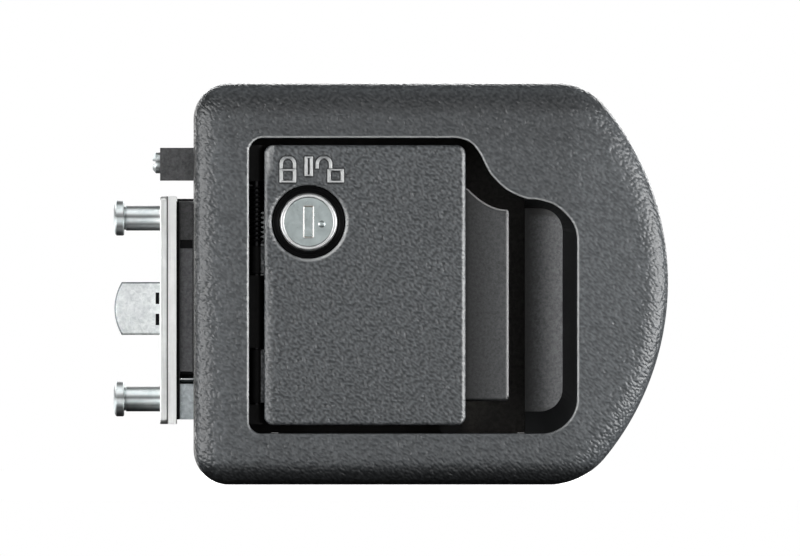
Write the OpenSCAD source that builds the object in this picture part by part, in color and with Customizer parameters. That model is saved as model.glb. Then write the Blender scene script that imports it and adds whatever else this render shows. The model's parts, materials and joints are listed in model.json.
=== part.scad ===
// Flush paddle door lock with a key-locked bolt, millimetres.
// +X right as seen from outside the door, +Y into the door, +Z up.
// The origin is the middle of the bezel on the door skin.

/* [Bezel] */
// left edge of the bezel from the origin
bezel_left = 66.25; // [60:0.05:75]
// half height of the bezel
bezel_half_h = 56.25; // [50:0.25:65]
// radius of the bowed right side
bow_r = 77.75; // [70:0.05:95]
// height of the bezel front above the door skin
bezel_front = 9; // [7:0.5:12]
// thickness of the foam gasket
gasket_t = 1.5; // [1:0.1:2.5]

/* [Opening] */
// left edge of the opening
open_left = 50.7; // [48:0.1:54]
// top edge of the opening
open_top = 40.9; // [36:0.1:45]
// bottom edge of the opening
open_bottom = 41.9; // [36:0.1:45]
// right edge of the finger pocket
open_right = 41.2; // [36:0.1:46]

/* [Pan] */
// wall thickness of the pan
pan_wall = 2.5; // [2:0.1:4]
// depth of the pan behind the door skin
pan_depth = 20; // [18:0.5:26]
// depth of the finger pocket floor
pocket_floor = 8; // [7:0.5:12]
// radius of the finger scoop
scoop_r = 22; // [14:0.5:30]
// horizontal spacing of the trim posts
post_sx = 74; // [60:1:90]
// vertical spacing of the trim posts
post_sz = 90; // [84:0.5:91]
// hole radius of the trim posts
post_hole_r = 2.1; // [1.5:0.1:3]

/* [Paddle] */
// left edge of the paddle plate
paddle_left = 46.5; // [44:0.1:48]
// right edge of the paddle plate
paddle_right = 10; // [5:0.1:15]
// top edge of the paddle plate
paddle_top = 38.9; // [34:0.1:40]
// bottom edge of the paddle plate
paddle_bottom = 39.5; // [34:0.1:41]
// front face of the paddle plate
paddle_front = 8.5; // [7:0.1:9]
// thickness of the paddle plate
paddle_t = 3.7; // [3:0.1:5]
// right edge of the grip flange
grip_right = 22.1; // [18:0.1:26]

/* [Hinge] */
// distance of the hinge pin left of the origin
hinge_x = 48.5; // [47:0.1:49]
// distance of the hinge pin in front of the door skin
hinge_y = 2.8; // [2:0.1:4]
// radius of the hinge pin
hinge_pin_r = 1.1; // [0.9:0.05:1.4]
// radius of the hinge knuckles
knuckle_r = 2; // [1.8:0.05:2.2]

/* [Key cylinder] */
// distance of the cylinder left of the origin
cyl_x = 34; // [30:0.1:36]
// height of the cylinder above the origin
cyl_z = 17.4; // [14:0.1:20]
// radius of the bright front cap
cyl_cap_r = 8.1; // [7:0.1:9]
// radius of the plug body
plug_r = 5.6; // [4.5:0.05:6]
// width of the key slot
key_w = 2.3; // [1.8:0.1:3]
// height of the key slot
key_h = 8.6; // [7:0.1:10]
// crank radius of the cam pin
cam_crank = 6; // [5:0.1:7]

/* [Bolt] */
// reach of the bolt tip left of the origin
bolt_tip = 88.56; // [84:0.1:92]
// height of the bolt
bolt_h = 14.84; // [12:0.1:18]
// thickness of the bolt
bolt_t = 11; // [9:0.1:13]
// centre height of the bolt
bolt_z = -6.87; // [-10:0.1:0]
// depth of the bolt centre behind the door skin
bolt_y = 15; // [13:0.1:18]
// radius of the curved bolt end
bolt_end_r = 14.5; // [10:0.5:30]

/* [Door edge] */
// outer face of the face plate from the origin
face_x = 75.7; // [72:0.1:80]
// top of the face plate
face_top = 24.6; // [20:0.1:30]
// bottom of the face plate
face_bottom = -39.3; // [-45:0.1:-35]
// height of the upper edge screw
screw_top_z = 18.5; // [15:0.1:22]
// height of the lower edge screw
screw_low_z = -32.3; // [-36:0.1:-28]
// radius of the edge screw shoulder
screw_r = 3.5; // [3:0.1:4]
// radius of the edge screw head
screw_head_r = 4.9; // [4:0.1:6]

/* [Hidden] */
$fn = 64;
black = [0.1, 0.1, 0.11];
zinc = [0.75, 0.77, 0.78];
bright = [0.82, 0.84, 0.85];
HX = -hinge_x;
HY = -hinge_y;
CX = -cyl_x;
CZ = cyl_z;
PF = -paddle_front;
PB = PF + paddle_t;
BZ0 = bolt_z - bolt_h / 2;
BZ1 = bolt_z + bolt_h / 2;
BY0 = bolt_y - bolt_t / 2;
BY1 = bolt_y + bolt_t / 2;
FX = -face_x;
fillet_t = 17;
fillet_b = 21;
bow_cx = -11.04;
bow_cz = 0.67;
ft_dz = bezel_half_h - fillet_t - bow_cz;
ft_dx = sqrt(pow(bow_r - fillet_t, 2) - pow(ft_dz, 2));
fb_dz = -bezel_half_h + fillet_b - bow_cz;
fb_dx = sqrt(pow(bow_r - fillet_b, 2) - pow(fb_dz, 2));
ft_a = atan2(ft_dz, ft_dx);
fb_a = atan2(fb_dz, fb_dx);
gy = -gasket_t;
flange_y = gy - 2;
open_w = -open_left;
well_right = 26.6;
scoop_x = 27.4;

function arc(cx, cz, r, a0, a1, n) =
  [for (i = [0:n]) let (a = a0 + (a1 - a0) * i / n) [cx + r * cos(a), cz + r * sin(a)]];

// bezel outline, moved in by d
function bezel_pts(d) = concat(
  arc(bow_cx + ft_dx, bow_cz + ft_dz, fillet_t - d, ft_a, 90, 8),
  arc(-bezel_left + 10, bezel_half_h - 10, 10 - d, 90, 180, 8),
  arc(-bezel_left + 10, -bezel_half_h + 10, 10 - d, 180, 270, 8),
  arc(bow_cx + fb_dx, bow_cz + fb_dz, fillet_b - d, 270, 360 + fb_a, 8),
  [for (i = [1:15]) let (a = fb_a + (ft_a - fb_a) * i / 16) [bow_cx + (bow_r - d) * cos(a), bow_cz + (bow_r - d) * sin(a)]]);

// smooth curve through the S-shaped upper right edge of the opening
s_knots = [[open_right + 0.1, 9], [open_right, 12.9], [40.3, 16.5], [38.1, 19.5], [34.7, 22.2], [30.5, 23.5],
  [26.6, 24], [21.6, 26.3], [17.6, 30], [15.7, 33], [14, 36.4], [11.5, 39.5], [7.5, open_top], [3, open_top]];
function cr(p, t) = 0.5 * (2 * p[1] + (p[2] - p[0]) * t + (2 * p[0] - 5 * p[1] + 4 * p[2] - p[3]) * t * t
  + (3 * p[1] - p[0] - 3 * p[2] + p[3]) * t * t * t);
s_pts = [for (i = [1:len(s_knots) - 3]) for (j = [0:2])
  cr([s_knots[i - 1], s_knots[i], s_knots[i + 1], s_knots[i + 2]], j / 3)];

open_pts = concat(
  arc(open_w + 3.4, -open_bottom + 3.4, 3.4, 180, 270, 5),
  arc(open_right - 10, -open_bottom + 10, 10, 270, 360, 8),
  s_pts, [[7.5, open_top]],
  arc(open_w + 3.9, open_top - 3.9, 3.9, 90, 180, 5));

module ext(y0, y1) translate([0, y1, 0]) rotate([90, 0, 0]) linear_extrude(height = y1 - y0) children();
module yc(x, z, r, y0, y1) translate([x, y1, z]) rotate([90, 0, 0]) cylinder(r = r, h = y1 - y0);
module xc(y, z, r, x0, x1) translate([x0, y, z]) rotate([0, 90, 0]) cylinder(r = r, h = x1 - x0);
module zc(x, y, r, z0, z1) translate([x, y, z0]) cylinder(r = r, h = z1 - z0);
module bx(x0, x1, y0, y1, z0, z1) translate([x0, y0, z0]) cube([x1 - x0, y1 - y0, z1 - z0]);
module rrect(x0, x1, z0, z1, r) polygon(concat(
  arc(x0 + r, z0 + r, r, 180, 270, 9), arc(x1 - r, z0 + r, r, 270, 360, 9),
  arc(x1 - r, z1 - r, r, 0, 90, 9), arc(x0 + r, z1 - r, r, 90, 180, 9)));
module opening() polygon(open_pts);

// coil spring along +Z: coil radius r, wire radius w, length h, n turns, straight legs l0 and l1
module coil(r, w, h, n, seg, k, l0, l1) {
  m = n * seg;
  path = concat(l0 > 0 ? [[l0, r, w, 90]] : [],
    [for (i = [0:m]) let (a = 90 + 360 * i / seg) [r * cos(a), r * sin(a), w + (h - 2 * w) * i / m, a]],
    l1 > 0 ? [[-l1, r, h - w, 90]] : []);
  q = len(path) - 1;
  pts = [for (p = path) for (j = [0:k - 1]) let (b = 360 * j / k)
    [p[0] + w * cos(b) * cos(p[3]), p[1] + w * cos(b) * sin(p[3]), p[2] + w * sin(b)]];
  f = concat([[for (j = [0:k - 1]) j]],
    [for (i = [0:q - 1]) for (j = [0:k - 1]) [i * k + j, (i + 1) * k + j, (i + 1) * k + (j + 1) % k]],
    [for (i = [0:q - 1]) for (j = [0:k - 1]) [i * k + j, (i + 1) * k + (j + 1) % k, i * k + (j + 1) % k]],
    [[for (j = [k - 1:-1:0]) q * k + j]]);
  polyhedron(points = pts, faces = f);
}

pan_screw_at = [[-18, 46.8], [-56.5, -46], [50, 12], [41.3, -43.4]];
cover_at = [[-47, 37], [5.6, 37.8], [-47, -37], [5.6, -38.8]];
post_at = [for (sx = [-1, 1]) for (sz = [-1, 1]) [-9 + sx * post_sx / 2, sz * post_sz / 2]];
frame_at = [[-57.5, 17.5], [-57.5, -32]];
bump_at = [[6, 36.6], [6, -37.4]];

module bezel() color(black) difference() {
  hull() {
    ext(flange_y, gy) polygon(bezel_pts(0));
    ext(-5, -4.9) polygon(bezel_pts(0.3));
    ext(-6.6, -6.5) polygon(bezel_pts(1.1));
    ext(-7.9, -7.8) polygon(bezel_pts(2.5));
    ext(-8.7, -8.6) polygon(bezel_pts(4.4));
    ext(-bezel_front, -bezel_front + 0.1) polygon(bezel_pts(6.8));
  }
  ext(-bezel_front - 1, gy + 1) opening();
  ext(flange_y, gy + 1) polygon(bezel_pts(6.9));
  bx(open_w - 0.9, open_w + 1, -5.6, 0, -39.4, 39);
  for (p = pan_screw_at) yc(p[0], p[1], 1.55, -6.8, 0);
}

module recess_pan() color(black) difference() {
  union() {
    ext(flange_y, gy) polygon(bezel_pts(7));
    ext(flange_y, pan_depth) intersection() {
      offset(delta = pan_wall) opening();
      translate([-80, -60]) square([80 + well_right + 2.8, 120]);
    }
    ext(flange_y, pocket_floor + 3) offset(delta = pan_wall) opening();
    for (p = post_at) yc(p[0], p[1], 4.2, gy - 1, 24);
    for (p = frame_at) {
      yc(p[0], p[1], 3.6, 3, 22);
      bx(p[0], -53, gy - 1, 20, p[1] - 3, p[1] + 3);
    }
    bx(-face_x, -52.5, 4, 13, 29, 38.2);
  }
  // open well behind the paddle
  ext(flange_y - 1, pan_depth + 5) intersection() {
    opening();
    translate([-80, -60]) square([80 + well_right, 120]);
  }
  bx(open_w - 0.9, open_w + 1, flange_y - 1, pan_depth + 1, -39.4, 38.7);
  // finger pocket: sloping walls, then the scoop
  hull() {
    ext(flange_y - 1, flange_y) rrect(-12, open_right, -open_bottom, 23.6, 9.4);
    ext(4.3, 4.4) rrect(-12, 37.1, -35.7, 21.2, 6.3);
  }
  intersection() {
    ext(4, 14) rrect(-12, 37.2, -35.8, 21.3, 6.4);
    union() {
      zc(scoop_x, pocket_floor - scoop_r, scoop_r, -40, 30);
      bx(-12, scoop_x, 0, pocket_floor, -40, 30);
    }
  }
  // tail window, tie rod seat, holes
  bx(-56, -48, 10.9, 19.1, -3, 1.2);
  xc(14, -26.7, 1.05, -58, -52.6);
  for (p = post_at) yc(p[0], p[1], post_hole_r, 10, 25);
  for (p = frame_at) yc(p[0], p[1], 1.75, 10, 23);
  for (p = pan_screw_at) yc(p[0], p[1], 1.7, -5, 0);
  xc(8.5, 34, 1.55, -face_x - 1, -64);
}

// hinge lugs and stop bosses cast with the pan
module pan_lugs() difference() {
  union() {
    for (s = [[28.8, 38.9], [-17.9, 2.4], [-39.3, -33.8]]) {
      zc(HX, HY, knuckle_r, s[0], s[1]);
      bx(-51.5, HX, HY - knuckle_r, HY + knuckle_r, s[0], s[1]);
      bx(-52.5, HX, flange_y, HY + knuckle_r, s[0], s[1]);
    }
    for (p = cover_at) yc(p[0], p[1], p[0] > 0 ? 3.5 : 5.4, 8, pan_depth);
  }
  zc(HX, HY, hinge_pin_r + 0.01, -38.5, 38.2);
  for (p = cover_at) yc(p[0], p[1], 1.55, 11, pan_depth + 1);
}

module recess_pan_all() color(black) union() {
  recess_pan();
  pan_lugs();
}

module flange_gasket() color([0.05, 0.05, 0.05]) ext(gy, 0) difference() {
  polygon(bezel_pts(1));
  polygon(bezel_pts(6.2));
}

module pan_screws() color(zinc) for (p = pan_screw_at) {
  yc(p[0], p[1], 1.5, -6.6, gy);
  difference() {
    yc(p[0], p[1], 2.5, gy, 0.4);
    bx(p[0] - 3, p[0] + 3, -0.4, 1, p[1] - 0.4, p[1] + 0.4);
  }
}

module back_cover() color(black) difference() {
  ext(pan_depth, pan_depth + 1.4) polygon(concat(arc(-50.4, -40.8, 3, 180, 270, 9), [[well_right + 2.5, -43.8], [well_right + 2.5, 25.4], [25, 26.6],
    [21.5, 28.6], [18.6, 32], [15.8, 38], [13, 42.8]], arc(-50.4, 39.8, 3, 90, 180, 9)));
  for (p = cover_at) yc(p[0], p[1], 1.7, 19, 23);
  // clearance around the trim posts, outside the well
  for (p = post_at) intersection() {
    yc(p[0], p[1], 4.6, 19, 23);
    union() {
      bx(-80, 80, 18, 24, -60, -open_bottom + 0.05);
      bx(-80, 80, 18, 24, open_top - 0.05, 60);
      bx(well_right + 0.05, 80, 18, 24, -60, 60);
    }
  }
  bx(-46.4, -28.2, 19, 23, -10.5, -1.6);
}

module cover_screws() color(zinc) for (p = cover_at) {
  yc(p[0], p[1], 1.5, 12, pan_depth + 1.4);
  difference() {
    yc(p[0], p[1], 2.8, pan_depth + 1.4, pan_depth + 3.2);
    bx(p[0] - 3, p[0] + 3, pan_depth + 2.5, pan_depth + 4, p[1] - 0.4, p[1] + 0.4);
  }
}

module paddle_bumpers() color([0.06, 0.06, 0.06]) for (p = bump_at) yc(p[0], p[1], 1.9, PB + 0.1, 8);

module hinge_pin() color(zinc) zc(HX, HY, hinge_pin_r, -38.4, 38.1);

module paddle_spring() color(bright) translate([HX, HY, 11.2]) coil(1.65, 0.38, 16.8, 12, 14, 7, 2.45, 2.95);

module latch_frame() color(zinc) difference() {
  union() {
    bx(FX + 2.05, FX + 4.6, 4, 23.6, face_bottom, face_top);
    bx(-66.6, -65.2, 6.5, 22.8, -24.9, 23.3);
    bx(FX + 2.05, -53.6, 22, 23.6, -38, 24);
  }
  bx(-80, -64, BY0 - 0.4, BY1 + 0.4, BZ0 - 0.4, BZ1 + 0.4);
  for (z = [screw_top_z, screw_low_z]) xc(bolt_y, z, 2.5, -80, -60);
  for (p = frame_at) yc(p[0], p[1], 2.1, 21, 25);
  xc(14, -26.7, 1.05, -80, -70);
}

module frame_screws() color(zinc) for (p = frame_at) {
  yc(p[0], p[1], 1.7, 12, 23.6);
  difference() {
    yc(p[0], p[1], 3.4, 23.6, 25.8);
    bx(p[0] - 4, p[0] + 4, 25, 27, p[1] - 0.45, p[1] + 0.45);
  }
}

module face_plate() color(bright) difference() {
  translate([FX, 0, 0]) rotate([90, 0, 90]) linear_extrude(height = 2.05) rrect(3, 27, face_bottom, face_top, 1.5);
  bx(-80, -64, BY0 - 0.3, BY1 + 0.3, BZ0 - 0.3, BZ1 + 0.3);
  for (z = [screw_top_z, screw_low_z]) xc(bolt_y, z, 2.5, -80, -60);
}

module bolt_guide() color(black) difference() {
  union() {
    bx(-70.6, -66.6, 6.5, 22, -24.6, 10);
    // liner between the frame wall and the nut blocks
    bx(FX + 4.6, -70.2, 6, 22, -38, 23.2);
  }
  bx(-80, -60, BY0 - 0.25, BY1 + 0.25, BZ0 - 0.25, BZ1 + 0.25);
  for (z = [screw_top_z, screw_low_z]) xc(bolt_y, z, 2.5, -80, -60);
  xc(14, -26.7, 1.1, -80, -70);
}

module upper_nut_block() color(black) difference() {
  bx(-70.2, -66.6, 6.5, 22, 12.4, 23.2);
  xc(bolt_y, screw_top_z, 2.45, -80, -60);
}

module lower_nut_block() color(zinc) difference() {
  bx(-70.2, -65.2, 6.5, 22, -38, -28);
  xc(bolt_y, screw_low_z, 2.45, -80, -60);
}

module tie_rod() color(bright) xc(14, -26.7, 1, FX + 2.3, -52.8);

module edge_screws() color(bright) for (z = [screw_top_z, screw_low_z]) translate([0, bolt_y, z]) rotate([0, 90, 0]) difference() {
  rotate_extrude() polygon([[0, -88.8], [2.6, -88.8], [3.9, -88.6], [screw_head_r - 0.3, -88.3], [screw_head_r, -88], [screw_head_r, -86.2], [screw_head_r - 0.25, -85.9],
    [screw_r - 0.25, -85.9], [screw_r - 0.25, -85.5], [screw_r, -85.25], [screw_r, FX], [2.4, FX], [2.4, -66.2], [2, -65.6], [0, -65.6]]);
  for (a = [0, 90]) rotate([0, 0, a]) translate([-0.55, -2.2, -90]) cube([1.1, 4.4, 3]);
}

module lug_screw() color(bright) difference() {
  union() {
    xc(8.5, 34, 1.5, -76, -65);
    translate([-77.8, 8.5, 34]) rotate([0, 90, 0]) rotate_extrude() polygon([[0, 0], [1.9, 0], [2.95, 0.9], [2.95, 2.1], [0, 2.1]]);
  }
  bx(-79, -77, 4, 13, 33.6, 34.4);
}

module bolt_spring() color(bright) translate([-79.9, bolt_y, -9.8]) rotate([0, 90, 0]) coil(2.5, 0.4, 26.6, 11, 14, 7, 0, 0);

module bolt() color(zinc) difference() {
  intersection() {
    bx(-bolt_tip, -68, BY0, BY1, BZ0, BZ1);
    union() {
      yc(-bolt_tip + bolt_end_r, bolt_z, bolt_end_r, 0, 30);
      bx(-80, -60, 0, 30, -30, 20);
    }
  }
  // slam bevel on the inside face
  translate([0, 0, BZ0 - 1]) linear_extrude(height = bolt_h + 2)
    polygon([[-76.8, BY1 + 0.01], [-90, BY1 + 0.01], [-90, BY0 + 2.6]]);
  // pockets on the outside face
  for (z = [-4, -9.95]) bx(-77, -76, BY0 - 1, BY0 + 2, z - 1.6, z + 1.6);
  // spring bore and seat of the tail
  xc(bolt_y, -9.8, 3.2, -80, -60);
  bx(-74, -60, 11.5, 18.5, -2.4, 3);
  for (x = [-72.4, -69.6]) zc(x, bolt_y, 1.2, -6, 2);
}

module bolt_tail() color(zinc) difference() {
  union() {
    bx(-74, -42.5, 11.5, 18.5, -2.4, 0.5);
    bx(-45.5, -42.5, 10.5, 19, -9.7, 0.5);
    bx(-45.5, -42.5, 18, 27, -9.7, -2.4);
  }
  for (x = [-72.4, -69.6]) zc(x, bolt_y, 1.2, -6, 2);
}

module tail_rivets() color(bright) for (x = [-72.4, -69.6]) zc(x, bolt_y, 1.2, -5.9, 0.5);

// raised outline symbols on the paddle
module padlock(x, z, sx) {
  difference() {
    translate([x - 2.4, z - 3.8]) square([4.8, 4.2]);
    translate([x - 1.7, z - 3.1]) square([3.4, 2.8]);
  }
  translate([x + sx, 0]) {
    intersection() {
      difference() {
        translate([0, z + 1.6]) circle(r = 2.4);
        translate([0, z + 1.6]) circle(r = 1.6);
      }
      translate([-3, z + 1.6]) square([6, 3]);
    }
    translate([-2.4, z + 0.2]) square([0.8, 1.5]);
    translate([1.6, z + 0.2]) square([0.8, 1.5]);
  }
}

module paddle() color(black) difference() {
  union() {
    hull() {
      ext(PB - 0.2, PB) rrect(-paddle_left, paddle_right, -paddle_bottom, paddle_top, 2.6);
      ext(PF + 2, PF + 2.1) rrect(-paddle_left, paddle_right, -paddle_bottom, paddle_top, 2.6);
      ext(PF + 0.7, PF + 0.8) rrect(-paddle_left + 0.7, paddle_right, -paddle_bottom + 0.1, paddle_top - 0.1, 2.6);
      ext(PF, PF + 0.1) rrect(-paddle_left + 2.1, paddle_right - 0.7, -paddle_bottom + 0.8, paddle_top - 0.8, 2.6);
    }
    // riser and grip flange
    bx(7.4, paddle_right, PB - 1, 0.5, -32.9, 26.5);
    ext(-2.5, 0.5) polygon(concat([[7.4, -32.9], [grip_right, -32.9], [grip_right, 20.6]],
      [for (i = [1:7]) let (t = i / 8) [grip_right - 0.5 - (grip_right - 11) * t, 20.9 + 6 * t * t]], [[7.4, 26.8]]));
    // knuckles
    for (s = [[2.8, 10.7], [-33.4, -18.3]]) {
      zc(HX, HY, knuckle_r, s[0], s[1]);
      bx(HX, -43, HY - knuckle_r, HY - 0.4, s[0], s[1]);
    }
    // slide rib and cylinder boss
    bx(-46, -43.2, PB - 0.5, 6.8, -14, 24);
    yc(CX, CZ, 10.6, PB - 0.5, 2);
    // symbols
    ext(PF - 0.3, PF + 0.2) {
      padlock(-39.8, 32, 0);
      translate([-35.1, 30]) difference() {
        square([2.3, 5.9]);
        translate([0.6, 0.6]) square([1.1, 4.7]);
      }
      padlock(-26.4, 32, -3.3);
    }
  }
  zc(HX, HY, hinge_pin_r + 0.06, -38, 38);
  yc(CX, CZ, cyl_cap_r - 0.4, -20, 20);
  yc(CX, CZ, 10.3, -20, -6);
  for (z = [-0.4, 6.4]) xc(5, z, 1.2, -50, -40);
}

module cylinder_shell() color(bright) difference() {
  union() {
    translate([CX, 0, CZ]) rotate([-90, 0, 0]) rotate_extrude() polygon([[0, -8.9], [7.5, -8.9], [cyl_cap_r, -8.3], [cyl_cap_r, -6.0], [7.6, -6], [7.6, 6.2], [0, 6.2]]);
  }
  yc(CX, CZ, plug_r + 0.05, -20, 20);
  yc(CX, CZ, 6.85, -20, -7.3);
  difference() {
    yc(CX, CZ, 9, 2.1, 3.3);
    yc(CX, CZ, 6.9, 2, 3.4);
  }
}

module cylinder_collar() color([0.04, 0.04, 0.04]) translate([CX, 0, CZ]) rotate([-90, 0, 0]) rotate_extrude()
  polygon([[8.15, -8.1], [8.9, -8.1], [9.2, -7.7], [9.5, -7.7], [9.8, -8], [10.2, -8], [10.2, -6], [8.15, -6]]);

module cylinder_clip() color(zinc) difference() {
  yc(CX, CZ, 9, 2.2, 3.2);
  yc(CX, CZ, 6.95, 0, 5);
  bx(CX - 6.95, CX + 6.95, 0, 5, CZ - 12, CZ);
}

module slide_screws() color(bright) for (z = [-0.4, 6.4]) {
  xc(5, z, 1.2, -46.2, -43.4);
  xc(5, z, 1.5, -48.9, -46);
  difference() {
    xc(5, z, 2.6, -50.2, -48.8);
    bx(-51, -49.7, 1, 9, z - 0.35, z + 0.35);
  }
}

module key_plug() color(bright) difference() {
  union() {
    yc(CX, CZ, 6.78, -8.7, -7.35);
    yc(CX, CZ, plug_r, -7.5, 6.4);
    yc(CX, CZ, 3, 6.3, 11.4);
  }
  // key slot, shutter pocket and wafer slots
  bx(CX - key_w / 2, CX + key_w / 2, -9, 5.2, CZ - key_h / 2, CZ + key_h / 2);
  bx(CX - 2.2, CX + 1.3, -8.2, -4.8, CZ - key_h / 2, CZ + key_h / 2);
  zc(CX - 1.5, -7.6, 0.5, CZ - 5.2, CZ + 5.2);
  for (i = [0:4]) bx(CX - 2.6, CX + 2.6, -4.6 + 2 * i, -3.6 + 2 * i, CZ - 4.75, CZ + 4.75);
  yc(CX + 3.7, CZ - 0.6, 0.8, -9, -8.4);
  yc(CX, CZ, 1.3, 4, 12);
  bx(CX - 4, CX + 4, 9.5, 12, CZ + 2.2, CZ + 4);
  bx(CX - 4, CX + 4, 9.5, 12, CZ - 4, CZ - 2.2);
}

module wafer_tumblers() color([0.72, 0.58, 0.3]) for (i = [0:4]) difference() {
  bx(CX - 2.5, CX + 2.5, -4.55 + 2 * i, -3.65 + 2 * i, CZ - 4.65, CZ + 4.65);
  bx(CX - 1.2, CX + 1.2, -5 + 2 * i, -3 + 2 * i, CZ - 2.6 + 0.3 * (i % 3), CZ + 2.4 + 0.3 * (i % 3));
}

module tail_cam() color(zinc) difference() {
  union() {
    yc(CX, CZ, 4.8, 9.6, 11.4);
    bx(CX - cam_crank, CX, 9.6, 11.4, CZ - 2.4, CZ + 2.4);
    yc(CX - cam_crank, CZ, 2.4, 9.6, 11.4);
    yc(CX - cam_crank, CZ, 1.5, 7, 10);
  }
  intersection() {
    yc(CX, CZ, 3.05, 9, 12);
    bx(CX - 4, CX + 4, 9, 12, CZ - 2.25, CZ + 2.25);
  }
}

module cam_screw() color(bright) {
  yc(CX, CZ, 1.25, 5, 11.4);
  difference() {
    yc(CX, CZ, 3.6, 11.45, 13.2);
    bx(CX - 5, CX + 5, 12.6, 14, CZ - 0.4, CZ + 0.4);
  }
  yc(CX, CZ, 1.25, 11.3, 11.5);
}

module dust_shutter() color(bright) union() {
  zc(CX - 1.5, -7.6, 0.44, CZ - 5.1, CZ + 5.1);
  bx(CX - 1.5, CX + 1.1, -8.04, -7.5, CZ - key_h / 2 + 0.15, CZ + key_h / 2 - 0.15);
}

module lock_slide() color(zinc) difference() {
  union() {
    bx(-48.7, -46.2, 1.2, 9.2, -13.5, 20.4);
    bx(-48.7, -46.2, 1.2, 17.5, -13.5, -7.5);
    zc(-47.45, 17.5, 1.25, -13.5, -7.5);
    bx(-48.7, -37.7, 7.2, 9.2, 14.4, 20.4);
  }
  hull() {
    xc(5, -4.7, 1.7, -50, -45);
    xc(5, 10.7, 1.7, -50, -45);
  }
  bx(-42.4, -37, 7, 10, CZ - 1.8, CZ + 1.8);
}

bezel();
recess_pan_all();  // recess_pan
flange_gasket();
pan_screws();
back_cover();
cover_screws();
paddle_bumpers();
hinge_pin();
paddle_spring();
latch_frame();
frame_screws();
face_plate();
bolt_guide();
upper_nut_block();
lower_nut_block();
tie_rod();
edge_screws();
lug_screw();
bolt_spring();
bolt();
bolt_tail();
tail_rivets();
paddle();
cylinder_shell();
cylinder_collar();
cylinder_clip();
slide_screws();
key_plug();
wafer_tumblers();
tail_cam();
cam_screw();
dust_shutter();
lock_slide();
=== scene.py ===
"""Looks of the flush paddle door lock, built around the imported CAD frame. Lengths below are in mm unless noted."""

import json
import math

import bmesh
import bpy
from mathutils import Matrix, Vector
from mathutils.geometry import tessellate_polygon

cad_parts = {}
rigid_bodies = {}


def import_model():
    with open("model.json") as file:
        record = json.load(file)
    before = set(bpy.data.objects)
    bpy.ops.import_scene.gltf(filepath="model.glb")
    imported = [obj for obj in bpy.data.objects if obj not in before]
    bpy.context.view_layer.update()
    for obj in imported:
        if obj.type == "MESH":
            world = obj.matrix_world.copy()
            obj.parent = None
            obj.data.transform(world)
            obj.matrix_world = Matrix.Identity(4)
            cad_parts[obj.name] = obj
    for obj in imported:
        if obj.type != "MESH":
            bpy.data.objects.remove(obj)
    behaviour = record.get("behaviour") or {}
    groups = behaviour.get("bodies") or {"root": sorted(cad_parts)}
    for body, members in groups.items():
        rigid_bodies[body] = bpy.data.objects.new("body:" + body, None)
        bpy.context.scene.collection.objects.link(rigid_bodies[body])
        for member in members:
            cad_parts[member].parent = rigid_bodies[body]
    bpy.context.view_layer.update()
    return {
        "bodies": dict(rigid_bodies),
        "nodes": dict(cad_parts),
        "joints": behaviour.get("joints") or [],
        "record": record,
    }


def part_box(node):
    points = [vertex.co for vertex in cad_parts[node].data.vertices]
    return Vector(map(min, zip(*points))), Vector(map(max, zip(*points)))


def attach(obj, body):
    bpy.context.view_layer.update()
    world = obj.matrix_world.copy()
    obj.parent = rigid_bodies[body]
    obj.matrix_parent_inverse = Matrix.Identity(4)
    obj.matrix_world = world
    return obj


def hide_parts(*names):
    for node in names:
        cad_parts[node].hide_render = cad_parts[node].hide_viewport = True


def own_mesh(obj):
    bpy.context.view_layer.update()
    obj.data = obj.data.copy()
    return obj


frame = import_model()
NODES = frame["nodes"]
SCENE = bpy.context.scene
rad = math.radians


# ------------------------------------------------------------------ materials
def shader(name):
    m = bpy.data.materials.new(name)
    m.use_nodes = True
    t = m.node_tree
    t.nodes.clear()
    out = t.nodes.new("ShaderNodeOutputMaterial")
    b = t.nodes.new("ShaderNodeBsdfPrincipled")
    t.links.new(b.outputs["BSDF"], out.inputs["Surface"])
    return m, t, b


def coord(t, stretch=None):
    c = t.nodes.new("ShaderNodeTexCoord")
    if stretch is None:
        return c.outputs["Object"]
    mp = t.nodes.new("ShaderNodeMapping")
    mp.inputs["Scale"].default_value = stretch
    t.links.new(c.outputs["Object"], mp.inputs["Vector"])
    return mp.outputs["Vector"]


def noise(t, vec, scale, detail=2.0, rough=0.5, dist=0.0):
    n = t.nodes.new("ShaderNodeTexNoise")
    n.inputs["Scale"].default_value = scale
    n.inputs["Detail"].default_value = detail
    n.inputs["Roughness"].default_value = rough
    n.inputs["Distortion"].default_value = dist
    t.links.new(vec, n.inputs["Vector"])
    return n.outputs["Fac"]


def cells(t, vec, scale, smooth=0.8, rnd=1.0):
    n = t.nodes.new("ShaderNodeTexVoronoi")
    n.feature = "SMOOTH_F1"
    n.inputs["Scale"].default_value = scale
    n.inputs["Smoothness"].default_value = smooth
    n.inputs["Randomness"].default_value = rnd
    t.links.new(vec, n.inputs["Vector"])
    return n.outputs["Distance"]


def ramp(t, fac, stops):
    r = t.nodes.new("ShaderNodeValToRGB")
    e = r.color_ramp.elements
    while len(e) < len(stops):
        e.new(0.5)
    for el, (pos, col) in zip(e, stops):
        el.position = pos
        el.color = (*col, 1) if len(col) == 3 else col
    t.links.new(fac, r.inputs["Fac"])
    return r.outputs["Color"]


def span(t, fac, a, b, lo=0.3, hi=0.7):
    m = t.nodes.new("ShaderNodeMapRange")
    m.inputs["From Min"].default_value = lo
    m.inputs["From Max"].default_value = hi
    m.inputs["To Min"].default_value = a
    m.inputs["To Max"].default_value = b
    t.links.new(fac, m.inputs["Value"])
    return m.outputs["Result"]


def calc(t, op, a, b):
    m = t.nodes.new("ShaderNodeMath")
    m.operation = op
    for k, v in enumerate((a, b)):
        if isinstance(v, (int, float)):
            m.inputs[k].default_value = v
        else:
            t.links.new(v, m.inputs[k])
    return m.outputs["Value"]


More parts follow.
